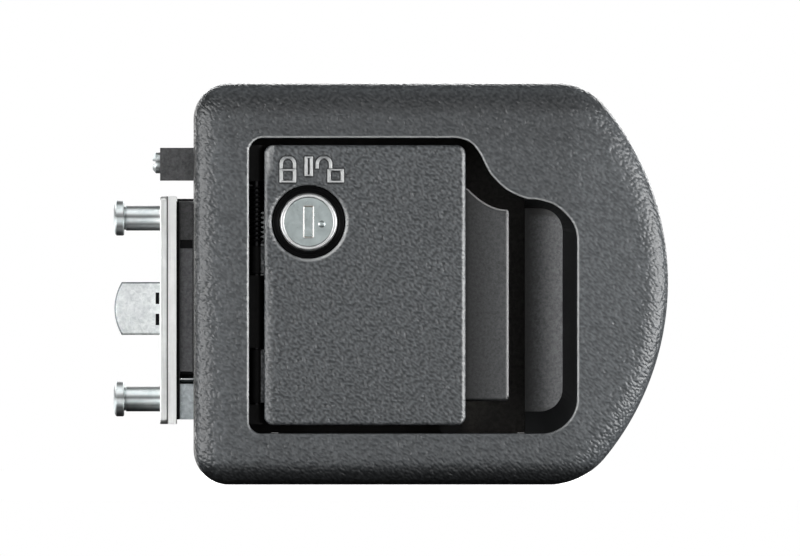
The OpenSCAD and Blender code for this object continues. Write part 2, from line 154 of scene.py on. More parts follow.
def bump(t, height, strength, distance, normal=None):
    b = t.nodes.new("ShaderNodeBump")
    b.inputs["Strength"].default_value = strength
    b.inputs["Distance"].default_value = distance
    t.links.new(height, b.inputs["Height"])
    if normal is not None:
        t.links.new(normal, b.inputs["Normal"])
    return b.outputs["Normal"]


def mix_painted_edges(t, tone, patchy, edge):
    """Painted highlights on edges where the mesh's per-vertex value is above zero, painted shade where it is below."""
    w = t.nodes.new("ShaderNodeAttribute")
    w.attribute_name = "painted_highlight_shade"
    f = calc(t, "MULTIPLY", w.outputs["Fac"], span(t, patchy, 0.75, 1.0))
    m = t.nodes.new("ShaderNodeMix")
    m.data_type = "RGBA"
    t.links.new(f, m.inputs["Factor"])
    t.links.new(tone, m.inputs["A"])
    m.inputs["B"].default_value = (*edge, 1)
    # near-black painted shade where the per-vertex value is below zero
    d = t.nodes.new("ShaderNodeMix")
    d.data_type = "RGBA"
    t.links.new(calc(t, "MULTIPLY", w.outputs["Fac"], -1.0), d.inputs["Factor"])
    t.links.new(m.outputs["Result"], d.inputs["A"])
    d.inputs["B"].default_value = (0.004, 0.004, 0.004, 1)
    return d.outputs["Result"]


def painted_light_falloff(t, col, axis, stops):
    """Painted light and shade changing along one axis of the piece: stops are (place in mm, factor)."""
    sep = t.nodes.new("ShaderNodeSeparateXYZ")
    t.links.new(coord(t), sep.inputs["Vector"])
    lo, hi = stops[0][0], stops[-1][0]
    f = ramp(t, span(t, sep.outputs[axis], 0, 1, lo * 0.001, hi * 0.001), [((p - lo) / (hi - lo), (k, k, k)) for p, k in stops])
    m = t.nodes.new("ShaderNodeMix")
    m.data_type = "RGBA"
    m.blend_type = "MULTIPLY"
    m.inputs["Factor"].default_value = 1.0
    t.links.new(col, m.inputs["A"])
    t.links.new(f, m.inputs["B"])
    return m.outputs["Result"]


def powder_coat(name, dark, light, strength, rough, edge, shades=()):
    """Black powder coat with the leathery pebble of a baked texture coat."""
    m, t, b = shader(name)
    v = coord(t)
    mp = t.nodes.new("ShaderNodeMapping")
    mp.vector_type = "TEXTURE"
    mp.inputs["Rotation"].default_value = (0, rad(40), 0)
    mp.inputs["Scale"].default_value = (1.3, 1.0, 0.92)
    t.links.new(v, mp.inputs["Vector"])
    g = mp.outputs["Vector"]
    big = cells(t, g, 780, 0.7)
    mid = noise(t, g, 1300, 0.3, 0.4)
    fine = noise(t, v, 2600, 1.0, 0.5)
    h = calc(t, "ADD", calc(t, "MULTIPLY", big, 0.5), calc(t, "MULTIPLY", mid, 1.0))
    n = bump(t, h, strength, 0.00031)
    n = bump(t, fine, strength * 0.2, 0.00001, n)
    t.links.new(n, b.inputs["Normal"])
    wide = noise(t, v, 60, 3, 0.5)
    tone = ramp(t, calc(t, "ADD", calc(t, "MULTIPLY", wide, 0.08), calc(t, "MULTIPLY", mid, 0.92)), [(0.32, dark), (0.68, light)])
    for axis, stops in shades:
        tone = painted_light_falloff(t, tone, axis, stops)
    t.links.new(mix_painted_edges(t, tone, noise(t, v, 300, 3), edge), b.inputs["Base Color"])
    t.links.new(span(t, mid, rough - 0.05, rough + 0.07), b.inputs["Roughness"])
    b.inputs["Specular IOR Level"].default_value = 0.5
    return m


def moulded(name, dark, light, rough, strength, scale=900, spec=0.5, edge=(0.3, 0.3, 0.3), flow=60, shades=()):
    """Smooth satin moulding with a little flow mottling."""
    m, t, b = shader(name)
    v = coord(t)
    n1 = noise(t, v, scale, 3, 0.55)
    n2 = noise(t, v, flow, 4, 0.6, 0.5)
    tone = ramp(t, n2, [(0.35, dark), (0.65, light)])
    for axis, stops in shades:
        tone = painted_light_falloff(t, tone, axis, stops)
    t.links.new(mix_painted_edges(t, tone, n1, edge), b.inputs["Base Color"])
    t.links.new(span(t, n1, rough - 0.05, rough + 0.06), b.inputs["Roughness"])
    t.links.new(bump(t, n1, strength, 0.00006), b.inputs["Normal"])
    b.inputs["Specular IOR Level"].default_value = spec
    return m


def paint_bands_by_normal(t, col, axis, stops):
    """Painted reflection and shade set by face direction: stops are (part of the normal along the axis, factor)."""
    c = t.nodes.new("ShaderNodeTexCoord")
    sep = t.nodes.new("ShaderNodeSeparateXYZ")
    t.links.new(c.outputs["Normal"], sep.inputs["Vector"])
    f = ramp(t, span(t, sep.outputs[axis], 0, 1, -1, 1), [((u + 1) / 2, (k, k, k)) for u, k in stops])
    m = t.nodes.new("ShaderNodeMix")
    m.data_type = "RGBA"
    m.blend_type = "MULTIPLY"
    m.inputs["Factor"].default_value = 1.0
    t.links.new(col, m.inputs["A"])
    t.links.new(f, m.inputs["B"])
    return m.outputs["Result"]


def metal(name, dark, light, rough, strength, scale=420, stretch=None, spot=90, spread=0.07, painted_bands=()):
    """Plated or cast metal: cloudy tone, uneven polish, fine tool grain, and optional painted reflection bands by face
    direction.
    """
    m, t, b = shader(name)
    v = coord(t)
    g = coord(t, stretch) if stretch else v
    cloud = noise(t, v, spot, 5, 0.62, 0.6)
    grain = noise(t, g, scale, 3, 0.6)
    tone = ramp(t, cloud, [(0.32, dark), (0.68, light)])
    for axis, stops in painted_bands:
        tone = paint_bands_by_normal(t, tone, axis, stops)
    t.links.new(tone, b.inputs["Base Color"])
    t.links.new(span(t, calc(t, "ADD", calc(t, "MULTIPLY", cloud, 0.5), calc(t, "MULTIPLY", grain, 0.5)), rough - spread, rough + spread), b.inputs["Roughness"])
    t.links.new(bump(t, grain, strength, 0.00005), b.inputs["Normal"])
    b.inputs["Metallic"].default_value = 1.0
    return m


def plate_metal(name, dark, light, rough, seams):
    """Sheared plate edge: fine drawn lines along the plate and dirt held in its seams (x in mm)."""
    m, t, b = shader(name)
    v = coord(t)
    line = noise(t, coord(t, (5200, 900, 55)), 1.0, 3, 0.6)
    cloud = noise(t, v, 150, 4, 0.6, 0.4)
    tone = ramp(t, calc(t, "ADD", calc(t, "MULTIPLY", line, 0.65), calc(t, "MULTIPLY", cloud, 0.35)), [(0.34, dark), (0.62, light)])
    sep = t.nodes.new("ShaderNodeSeparateXYZ")
    t.links.new(v, sep.inputs["Vector"])
    keep = None
    for x, w in seams:
        off = calc(t, "ABSOLUTE", calc(t, "SUBTRACT", sep.outputs["X"], x * 0.001), 0.0)
        k = span(t, off, 0.05, 1.0, w * 0.0004, w * 0.001)
        keep = k if keep is None else calc(t, "MULTIPLY", keep, k)
    mix = t.nodes.new("ShaderNodeMix")
    mix.data_type = "RGBA"
    t.links.new(keep, mix.inputs["Factor"])
    mix.inputs["A"].default_value = (0.03, 0.03, 0.028, 1)
    t.links.new(tone, mix.inputs["B"])
    t.links.new(mix.outputs["Result"], b.inputs["Base Color"])
    t.links.new(span(t, line, rough - 0.08, rough + 0.08), b.inputs["Roughness"])
    t.links.new(bump(t, line, 0.35, 0.00006), b.inputs["Normal"])
    b.inputs["Metallic"].default_value = 1.0
    return m


# Bezel coat with painted light and shade along X and Z: darker top and bottom roundings, lighter side roundings, a
# dark line at the left edge.
COAT = powder_coat("powder_coat", (0.044, 0.0475, 0.0505), (0.075, 0.0805, 0.0850), 0.9, 0.34, (0.42, 0.43, 0.43), [
    ("X", [(-66.4, 0.06), (-65.8, 0.12), (-65.3, 0.6), (-64.9, 1.12), (-64.3, 0.95), (-63, 0.88), (-62.2, 0.97), (-61, 1.12), (-59.9, 1.27), (-58.5, 1.27),
           (-56.6, 1.15), (-55, 1.06), (-51, 1.1), (-48, 1.0), (38, 1.0), (43, 1.27), (60, 1.27), (62, 1.12), (67, 1.15)]),
    ("Z", [(-56.4, 0.05), (-54.5, 0.24), (-53.2, 0.24), (-52.1, 0.36), (-51, 0.58), (-50.2, 0.84), (-49.2, 1.0), (-46, 1.06), (-41, 1.06), (38, 1.0),
           (41, 0.85), (46.5, 0.84), (48.2, 0.66), (49.2, 0.5), (51.4, 0.5), (52.6, 0.58), (53.3, 0.7), (54.4, 0.95), (56.4, 1.1)])])
COAT_PADDLE = powder_coat("powder_coat_paddle", (0.033, 0.0360, 0.0382), (0.094, 0.1010, 0.1065), 1.0, 0.36, (0.55, 0.56, 0.56))
SATIN = moulded("satin_black", (0.008, 0.0085, 0.009), (0.012, 0.0125, 0.013), 0.34, 0.16)
# Grip flange with painted shade: darker next to the paddle, lighter towards its right edge.
STRIP = moulded("grip_satin", (0.018, 0.019, 0.020), (0.040, 0.0415, 0.043), 0.38, 0.8, 1500, edge=(0.5, 0.5, 0.5), flow=1300, shades=[("X", [(8, 0.5), (11, 0.62), (20, 1.6), (23, 1.6)])])
# Finger scoop with painted light and shade: near-black at its left and top, lighter towards its right.
SCOOP = moulded("scoop_satin", (0.060, 0.062, 0.065), (0.146, 0.151, 0.157), 0.38, 0.8, 1500, 0.3, flow=1300, shades=[
    ("X", [(25.8, 0.02), (26.6, 0.04), (27.6, 0.12), (29.6, 0.5), (31.5, 0.82), (33, 0.98), (37.8, 1.2)]), ("Z", [(-38, 0.7), (-33, 0.95), (0, 1.0), (17.8, 1.05), (18.6, 0.9), (19.7, 0.12), (23, 0.1)])])
# Near-black for faces deep in the recess and in narrow gaps: painted shade.
INSIDE_SHADE = moulded("inside_painted_shade", (0.003, 0.003, 0.003), (0.006, 0.006, 0.006), 0.5, 0.2, 900, 0.12)
BLOCK = moulded("black_block", (0.030, 0.031, 0.033), (0.082, 0.083, 0.086), 0.42, 0.8, 1400, flow=1100)
GUIDE = moulded("guide_black", (0.080, 0.081, 0.086), (0.160, 0.162, 0.170), 0.44, 0.8, 1400, flow=1100)
# Cover inside with painted shade: dark where x is below about 9 mm, where it shows through the gaps.
COVER = moulded("cover_inside", (0.028, 0.0255, 0.0228), (0.056, 0.0518, 0.0468), 0.5, 0.4, 1300, 0.25, flow=700, shades=[("X", [(-60, 0.08), (8.5, 0.08), (11, 1.0), (40, 1.0)])])
SHELL = moulded("shell_black", (0.024, 0.025, 0.0265), (0.046, 0.0475, 0.050), 0.40, 0.7, 1300, flow=1100)
RUBBER = moulded("rubber", (0.008, 0.008, 0.009), (0.016, 0.016, 0.017), 0.55, 0.3, 1400, 0.35)
COLLAR = moulded("collar_black", (0.002, 0.002, 0.0022), (0.004, 0.004, 0.0043), 0.34, 0.1, 1100, 0.05)
ZINC = metal("zinc_plate", (0.60, 0.63, 0.63), (0.80, 0.83, 0.83), 0.30, 0.20, 380)
FRAME = plate_metal("frame_edge", (0.80, 0.81, 0.80), (0.97, 0.98, 0.97), 0.36, [(-73.65, 0.22)])
PLATE = plate_metal("plate_edge", (0.66, 0.67, 0.66), (0.92, 0.93, 0.92), 0.50, [(-73.65, 0.26)])
ZINC_RAW = metal("zinc_cast", (0.57, 0.605, 0.61), (0.86, 0.885, 0.885), 0.52, 0.8, 1500, None, 900, 0.09)
# Dark tone for the bolt's bevelled nose edge: painted shade.
ZINC_NOSE_SHADE = metal("zinc_nose_shade", (0.09, 0.105, 0.115), (0.20, 0.22, 0.235), 0.5, 0.5, 900, None, 700)
ZINC_DULL = metal("zinc_block", (0.46, 0.51, 0.53), (0.80, 0.85, 0.87), 0.55, 0.8, 900, None, 700, 0.08)
BRIGHT = metal("bright_plate", (0.68, 0.71, 0.72), (0.86, 0.88, 0.88), 0.20, 0.12, 500)
FACE = metal("cylinder_face", (0.36, 0.405, 0.405), (0.51, 0.57, 0.57), 0.32, 0.3, 900, None, 260, 0.07)
RIM = metal("cylinder_rim", (0.60, 0.61, 0.61), (0.74, 0.75, 0.75), 0.5, 0.2, 700, None, 260)
# Screw zinc with painted reflection: bright and dark bands along the shanks, set by which way each face turns.
SCREW = metal("screw_zinc", (0.74, 0.81, 0.82), (0.92, 0.95, 0.955), 0.60, 0.5, 700, None, 260, 0.09, [
    ("Z", [(-1, 0.2), (-0.85, 0.22), (-0.62, 0.6), (-0.48, 0.5), (-0.34, 0.85), (-0.2, 1.1), (-0.06, 0.85), (0.08, 0.24), (0.2, 0.36), (0.36, 0.95), (0.5, 1.1),
           (0.7, 1.05), (0.88, 0.28), (1, 0.4)])])
EDGE = metal("bright_edge", (0.60, 0.58, 0.56), (0.72, 0.70, 0.68), 0.5, 0.2, 900)
DARK_WIRE = metal("dark_wire", (0.020, 0.020, 0.021), (0.040, 0.040, 0.041), 0.34, 0.15, 700)
SPRING = metal("spring_steel", (0.42, 0.43, 0.44), (0.60, 0.61, 0.62), 0.26, 0.15, 700)
BRASS = metal("brass", (0.60, 0.43, 0.16), (0.78, 0.60, 0.28), 0.30, 0.2, 500)


# ------------------------------------------------------------------ mesh tools
def ring(bm, pts):
    return [bm.verts.new(p) for p in pts]


def skin(bm, loops, wrap=False):
    """Quads between loops that have the same number of points."""
    pairs = list(zip(loops, loops[1:])) + ([(loops[-1], loops[0])] if wrap else [])
    for a, b in pairs:
        k = len(a)
        for i in range(k):
            bm.faces.new((a[i], a[(i + 1) % k], b[(i + 1) % k], b[i]))


def cap(bm, *loops):
    """Flat face inside the first loop, around the others."""
    flat = [v for lp in loops for v in lp]
    for tri in tessellate_polygon([[v.co.copy() for v in lp] for lp in loops]):
        try:
            bm.faces.new([flat[i] for i in tri])
        except ValueError:
            pass


def arc(cx, cz, r, a0, a1, n):
    return [(cx + r * math.cos(rad(a0 + (a1 - a0) * i / n)), cz + r * math.sin(rad(a0 + (a1 - a0) * i / n))) for i in range(n + 1)]


def rrect(x0, x1, z0, z1, r, n=8):
    return arc(x0 + r, z0 + r, r, 180, 270, n) + arc(x1 - r, z0 + r, r, 270, 360, n) + arc(x1 - r, z1 - r, r, 0, 90, n) + arc(x0 + r, z1 - r, r, 90, 180, n)


def grow(pts, d):
    """Outline moved outwards by d (counter-clockwise points)."""
    out, k = [], len(pts)
    for i in range(k):
        p0, p1, p2 = Vector(pts[i - 1]), Vector(pts[i]), Vector(pts[(i + 1) % k])
        a, b = (p1 - p0).normalized(), (p2 - p1).normalized()
        na, nb = Vector((a.y, -a.x)), Vector((b.y, -b.x))
        n = na + nb
        n = n / max(n.dot(na), 0.35) if n.length > 1e-6 else na
        out.append(tuple(p1 + n * d))
    return out


def even(pts, step):
    """The closed outline with points spaced evenly."""
    k = len(pts)
    seg = [math.dist(pts[i], pts[(i + 1) % k]) for i in range(k)]
    total = sum(seg)
    n = max(12, int(total / step))
    res, i, done = [], 0, 0.0
    for j in range(n):
        want = total * j / n
        while done + seg[i] < want:
            done += seg[i]
            i += 1
        f = (want - done) / seg[i]
        p, q = pts[i], pts[(i + 1) % k]
        res.append((p[0] + (q[0] - p[0]) * f, p[1] + (q[1] - p[1]) * f))
    return res


def at_y(pts, y):
    return [(p[0], y, p[1]) for p in pts]


def circle_y(cx, cz, r, y, n=96):
    return [(cx + r * math.cos(2 * math.pi * i / n), y, cz + r * math.sin(2 * math.pi * i / n)) for i in range(n)]


def lathe_y(bm, cx, cz, prof, n=96):
    skin(bm, [ring(bm, circle_y(cx, cz, r, y, n)) for r, y in prof], wrap=True)


def lathe_z(bm, cx, cy, prof, n=48):
    skin(bm, [ring(bm, [(cx + r * math.cos(2 * math.pi * i / n), cy + r * math.sin(2 * math.pi * i / n), z) for i in range(n)]) for r, z in prof], wrap=True)


def rbox(bm, x0, x1, y0, y1, z0, z1, r, seg=3):
    made = bmesh.ops.create_cube(bm, size=1.0)["verts"]
    m = Matrix.Translation(((x0 + x1) / 2, (y0 + y1) / 2, (z0 + z1) / 2)) @ Matrix.Diagonal((x1 - x0, y1 - y0, z1 - z0, 1))
    bmesh.ops.transform(bm, matrix=m, verts=made)
    edges = list({e for v in made for e in v.link_edges})
    bmesh.ops.bevel(bm, geom=edges, offset=r, segments=seg, profile=0.5, affect="EDGES")


def raised(bm, outer, holes, y0, y1, ch=0.24):
    """A raised line on the paddle face with a rounded ridge, a painted highlight on its crown and painted shade round
    its foot.
    """
    tops, bots = [], []
    layer = bm.verts.layers.float["painted_highlight_shade"]
    for k, lp in enumerate([outer] + holes):
        way = -1 if k == 0 else 1
        turn = [abs(g[0] - q[0]) for g, q in zip(grow(lp, 1.0), lp)]
        rows = [ring(bm, at_y(grow(lp, -way * 0.3), y0))]
        # per row: painted shade at the ridge's foot, painted highlight on its crown, stronger where the side faces
        # left or right
        for u, y, w in ((-0.3, -8.503, -0.1), (-0.14, -8.507, -0.75), (0.0, -8.51, -0.98), (0.12 * ch, -8.62, -0.3), (0.32 * ch, -8.76, 0.6), (0.62 * ch, -8.88, 1.0), (ch, y1, 1.0)):
            rows.append(ring(bm, at_y(grow(lp, way * u), y)))
            for v, side in zip(rows[-1], turn):
                v[layer] = w if w < 0 else w * min(side, 1.0) ** 1.5 + 0.06 * (1 - min(side, 1.0))
        skin(bm, rows)
        tops.append(rows[-1])
        bots.append(rows[0])
    cap(bm, *tops)
    cap(bm, *bots)


def piece(name, bm, mat, body, replaced, angle=38, weighted=True):
    bmesh.ops.remove_doubles(bm, verts=bm.verts, dist=1e-5)
    bmesh.ops.recalc_face_normals(bm, faces=bm.faces)
    bmesh.ops.scale(bm, vec=(0.001, 0.001, 0.001), verts=bm.verts)
    bm.normal_update()
    for f in bm.faces:
        f.smooth = True
    for e in bm.edges:
        e.smooth = len(e.link_faces) != 2 or e.calc_face_angle(0) < rad(angle)
    me = bpy.data.meshes.new(name)
    bm.to_mesh(me)
    bm.free()
    ob = bpy.data.objects.new(name, me)
    SCENE.collection.objects.link(ob)
    me.materials.append(mat)
    if weighted:
        w = ob.modifiers.new("normals", "WEIGHTED_NORMAL")
        w.keep_sharp = True
        w.weight = 80
    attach(ob, body)
    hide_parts(*replaced)
    return ob


def refined(node, mat, body, width=0.22, seg=2, angle=33, extra=None, nose=0):
    """The CAD shape of a node with its sharp edges broken as on the real piece."""
    src = NODES[node]
    bm = bmesh.new()
    bm.from_mesh(src.data)
    bmesh.ops.scale(bm, vec=(1000, 1000, 1000), verts=bm.verts)
    bmesh.ops.remove_doubles(bm, verts=bm.verts, dist=0.003)
    bmesh.ops.dissolve_degenerate(bm, dist=0.003, edges=bm.edges)
    bmesh.ops.dissolve_limit(bm, angle_limit=rad(0.7), verts=bm.verts, edges=bm.edges)
    bm.normal_update()
    if nose:
        front = min(v.co.y for v in bm.verts)
        line = [e for e in bm.edges if all(abs(v.co.y - front) < 0.02 for v in e.verts) and not all(-77.4 < v.co.x < -75.5 for v in e.verts)
                and len(e.link_faces) == 2 and e.calc_face_angle(0) > rad(angle)]
        bmesh.ops.bevel(bm, geom=line, offset=nose, offset_type="OFFSET", segments=5, profile=0.5, affect="EDGES", clamp_overlap=False)
        bm.normal_update()
    if width > 0:
        sharp = [e for e in bm.edges if len(e.link_faces) == 2 and e.calc_face_angle(0) > rad(angle)]
        bmesh.ops.bevel(bm, geom=sharp, offset=width, offset_type="OFFSET", segments=seg, profile=0.5, affect="EDGES", clamp_overlap=True)
    if extra:
        extra(bm)
    return piece(node + "_look", bm, mat, body, [node])


# ------------------------------------------------------------------ bezel
HALF_H, BOW_X, BOW_Z, BOW_R = 56.25, -11.04, 0.67, 77.75
FT, FB, LEFT = 17.0, 21.0, 66.25
ft_dz = HALF_H - FT - BOW_Z
ft_dx = math.sqrt((BOW_R - FT) ** 2 - ft_dz**2)
fb_dz = -HALF_H + FB - BOW_Z
fb_dx = math.sqrt((BOW_R - FB) ** 2 - fb_dz**2)
ft_a, fb_a = math.degrees(math.atan2(ft_dz, ft_dx)), math.degrees(math.atan2(fb_dz, fb_dx))


def bezel_line(d):
    pts = arc(BOW_X + ft_dx, BOW_Z + ft_dz, FT - d, ft_a, 90, 24)
    pts += arc(-LEFT + 10, HALF_H - 10, 10 - d, 90, 180, 20)
    pts += arc(-LEFT + 10, -HALF_H + 10, 10 - d, 180, 270, 20)
    pts += arc(BOW_X + fb_dx, BOW_Z + fb_dz, FB - d, 270, 360 + fb_a, 28)
    return pts + arc(BOW_X, BOW_Z, BOW_R - d, fb_a, ft_a, 72)[1:-1]


KNOTS = [(41.3, 9), (41.2, 12.9), (40.3, 16.5), (38.1, 19.5), (34.7, 22.2), (30.5, 23.5), (26.6, 24), (21.6, 26.3),
         (17.6, 30), (15.7, 33), (14, 36.4), (11.5, 39.5), (7.5, 40.9), (3, 40.9)]


def spline(knots, n):
    res = []
    for i in range(1, len(knots) - 2):
        p0, p1, p2, p3 = (Vector(k) for k in knots[i - 1 : i + 3])
        for j in range(n):
            s = j / n
            res.append(tuple(0.5 * (2 * p1 + (p2 - p0) * s + (2 * p0 - 5 * p1 + 4 * p2 - p3) * s * s + (3 * p1 - p0 - 3 * p2 + p3) * s**3)))
    return res


def opening_line():
    pts = arc(-50.7 + 3.4, -41.9 + 3.4, 3.4, 180, 270, 14) + arc(31.2, -31.9, 10, 270, 360, 24)
    pts += spline(KNOTS, 8) + [(7.5, 40.9)] + arc(-46.8, 37.0, 3.9, 90, 180, 14)
    return even(pts, 0.55)


OPEN = opening_line()
bm = bmesh.new()
painted_highlight_shade = bm.verts.layers.float.new("painted_highlight_shade")
outer = [(0.3, -1.5), (0.08, -1.62), (0, -1.9), (0, -3.3), (0.05, -4.1), (0.2, -4.9), (0.48, -5.7), (0.92, -6.45), (1.5, -7.1), (2.25, -7.68),
         (3.15, -8.16), (4.15, -8.52), (5.2, -8.77), (6.25, -8.92), (7.2, -8.985), (8.0, -9.0), (8.6, -9.0)]
out_loops = [ring(bm, at_y(bezel_line(d), y)) for d, y in outer]
inner = [(1.5, -9.0), (1.0, -9.0), (0.74, -8.985), (0.52, -8.94), (0.34, -8.85), (0.19, -8.72), (0.08, -8.55), (0.02, -8.35), (0, -8.1), (0, -3.5)]
in_loops = [ring(bm, at_y(grow(OPEN, d) if d else OPEN, y)) for d, y in inner]
# Painted highlight along the opening's edge fillet, faded towards the lower right.
for lp, amount in zip(in_loops, (0, 0, 0, 0.3, 1.0, 1.0, 0.8, 0.3, 0, 0)):
    for v in lp:
        low = min(max((-34 - v.co.z) / 7, 0), 1) * min(max((42 - v.co.x) / 10, 0), 1)
        v[painted_highlight_shade] = amount * (1.0 - 0.9 * low)
skin(bm, out_loops)
skin(bm, in_loops)
cap(bm, out_loops[-1], in_loops[0])
back = [ring(bm, at_y(bezel_line(6.9), -1.5)), ring(bm, at_y(bezel_line(6.9), -3.5))]
skin(bm, [out_loops[0], *back])
cap(bm, back[-1], in_loops[-1])
piece("bezel_look", bm, COAT, "body", ["bezel"], 60)

# ------------------------------------------------------------------ paddle
PL, PR, PB, PT = -46.5, 10.0, -39.5, 38.9
CX, CZ = -34.0, 17.4
HX, HY = -48.5, -2.8


def inset(table, y):
    """How far an edge described by (inset, depth below the face) has come in at depth y."""
    d = y + 8.5
    if d <= table[0][1]:
        return table[0][0]
    for (a0, d0), (a1, d1) in zip(table, table[1:]):
        if d <= d1:
            return a0 + (a1 - a0) * (d - d0) / (d1 - d0)
    return 0.0


LIP_L = [(1.0, 0), (0.8, 0.05), (0.6, 0.14), (0.42, 0.27), (0.27, 0.42), (0.14, 0.62), (0.05, 0.9), (0, 1.4)]
LIP_R = [(1.1, 0), (0.9, 0.08), (0.65, 0.21), (0.4, 0.37), (0.2, 0.55), (0.07, 0.8), (0, 1.2)]
LIP_Z = [(0.85, 0), (0.6, 0.06), (0.33, 0.2), (0.13, 0.45), (0.03, 0.75), (0, 1.15)]


def left_width(z):
    """The left rounding narrows beside the cylinder."""
    k = min(max((abs(z - CZ) - 11.0) / 4.0, 0.0), 1.0)
    return 1.0 + 1.6 * k * k * (3 - 2 * k)


def paddle_line(y, extra=0.0):
    le, ri, tz = inset(LIP_L, y), inset(LIP_R, y) + extra, inset(LIP_Z, y) + extra
    w = 2.6 * le + extra
    pts = rrect(PL + w, PR - ri, PB + tz, PT - tz, 2.6 - 0.3 * min(w, 1.5), 10)
    z0, z1 = pts[0][1], pts[-1][1]
    side = [z1 + (z0 - z1) * i / 60 for i in range(1, 60)]
    return pts + [(PL + left_width(z) * le + extra, z) for z in side]


bm = bmesh.new()
painted_highlight_shade = bm.verts.layers.float.new("painted_highlight_shade")
ys = [-4.95, -6.2] + [-8.5 + d for d in (1.4, 1.2, 1.05, 0.9, 0.75, 0.62, 0.52, 0.42, 0.34, 0.27, 0.2, 0.14, 0.09, 0.05, 0.02, 0)]
loops = [ring(bm, at_y(grow(paddle_line(-4.8), -0.15), -4.8))] + [ring(bm, at_y(paddle_line(y), y)) for y in ys]
loops.append(ring(bm, at_y(paddle_line(-8.5, 0.06), -8.5)))
# Painted highlight on the left rounding, strongest at the top corner, and on the right edge.
for y, lp in zip(ys, loops[1:]):
    d = y + 8.5
    k = max(0.0, 1 - abs(d - 0.27) / 0.4)
    for v in lp:
        x, z = v.co.x, v.co.z
        if x < -43.6:
            v[painted_highlight_shade] = k * (0.10 + 0.06 * min(max((z - 10) / 14, 0), 1) + 0.4 * min(max((z - 27) / 10, 0), 1) ** 2)
        elif x > 8.6:
            v[painted_highlight_shade] = k * 0.46
skin(bm, loops)
well = [(11.42, -8.5), (11.34, -8.49), (11.2, -8.44), (10.95, -8.32), (10.68, -8.16), (10.46, -7.98), (10.34, -7.8), (10.3, -7.55), (10.3, -6.0), (7.72, -6.0), (7.72, 1.8),
        (7.9, 2.0), (10.4, 2.0), (10.6, 1.8), (10.6, -4.8)]
hole = [ring(bm, circle_y(CX, CZ, r, y)) for r, y in well]
# Painted highlight crescent on the cylinder well's chamfer, brightest at the lower right, weaker on the left.
for lp, amount in zip(hole[1:7], (0.02, 0.12, 0.5, 0.75, 0.6, 0.15)):
    for v in lp:
        a = math.atan2(v.co.z - CZ, v.co.x - CX)
        v[painted_highlight_shade] = amount * 1.3 * (0.1 + 0.95 * max(0.0, math.cos(a + rad(38))) ** 1.5 + 0.28 * max(0.0, -math.cos(a)) ** 2)
skin(bm, hole)
cap(bm, loops[-1], hole[0])
cap(bm, loops[0], hole[-1])
# riser and grip flange
rbox(bm, 7.4, 10.0, -5.2, 0.4, -32.9, 26.5, 0.35)
top = [(22.1 - 0.5 - 11.1 * s, 20.9 + 6 * s * s) for s in [i / 24 for i in range(25)]]
flange = arc(21.1, -31.9, 1.0, 270, 360, 8) + arc(21.3, 20.1, 0.8, 0, 70, 6) + top + [(7.4, 26.8), (7.4, -32.9)]
flange = even(flange, 0.6)
# flange rows: inset, depth, and painted highlight (positive) or painted shade (negative) on the rounding; the bottom
# end gets painted shade
prof = [(-0.35, 0.5, 0), (-0.1, 0.42, 0), (0, 0.2, 0), (0, -0.9, 0.2), (-0.03, -1.4, 0.5), (-0.1, -1.75, 0.8), (-0.22, -2.05, 0.95), (-0.38, -2.28, 0.7),
        (-0.54, -2.41, 0.1), (-0.7, -2.48, -0.3), (-0.95, -2.5, -0.12), (-1.2, -2.5, 0)]
first = len(bm.verts)
fl = []
for d, y, w in prof:
    fl.append(ring(bm, at_y(grow(flange, d), y)))
    for v in fl[-1]:
        low = min(max((-31.2 - v.co.z) / 0.8, 0), 1)
        v[painted_highlight_shade] = w * (1 - low) - 0.5 * low if w > 0 else w
skin(bm, fl)
cap(bm, fl[-1])
cap(bm, fl[0])
bm.verts.ensure_lookup_table()
geom = list(bm.verts)[first:]
geom += list({e for v in geom for e in v.link_edges}) + list({f for v in geom for f in v.link_faces})
for x in [9.0, 10.0, 10.35, 10.8] + list(range(11, 22)):
    geom = bmesh.ops.bisect_plane(bm, geom=geom, dist=1e-4, plane_co=(x + 0.02, 0, 0), plane_no=(1, 0, 0))["geom"]
# Painted shadow on the strip's face next to the paddle; the face also gets a slight crown.
for v in [g for g in geom if isinstance(g, bmesh.types.BMVert)]:
    if v.co.x < 10.9 and v.co.y < -2.3:
        v[painted_highlight_shade] = -0.97 if v.co.x < 10.2 else (-0.75 if v.co.x < 10.5 else -0.2)
    v.co.y += 0.0055 * max(v.co.x - 10.0, 0.0) ** 2 * min(max((-0.6 - v.co.y) / 1.8, 0.0), 1.0)
# hinge knuckles with their arms
for z0, z1 in ((2.8, 10.7), (-33.4, -18.3)):
    lathe_z(bm, HX, HY, [(1.16, z0 + 0.1), (1.3, z0), (1.75, z0), (2.0, z0 + 0.25), (2.0, z1 - 0.25), (1.75, z1), (1.3, z1), (1.16, z1 - 0.1)])
    rbox(bm, HX + 0.9, -43.0, HY - 2.0, HY - 0.4, z0 + 0.1, z1 - 0.1, 0.25)
rbox(bm, -46.0, -43.2, -5.3, 6.8, -14, 24, 0.4)


# raised symbols: closed padlock, bar, open padlock
def lock_body(x, z):
    return rrect(x - 2.4, x + 2.4, z - 3.8, z + 0.4, 0.45, 4), rrect(x - 1.32, x + 1.32, z - 2.85, z - 0.5, 0.25, 4)


def shackle(x, z):
    o = [(x + 2.4, z + 0.25)] + arc(x, z + 1.6, 2.4, 0, 180, 20) + [(x - 2.4, z + 0.25)]
    i = [(x - 1.32, z + 0.25)] + arc(x, z + 1.6, 1.32, 180, 0, 20) + [(x + 1.32, z + 0.25)]
    return o + i


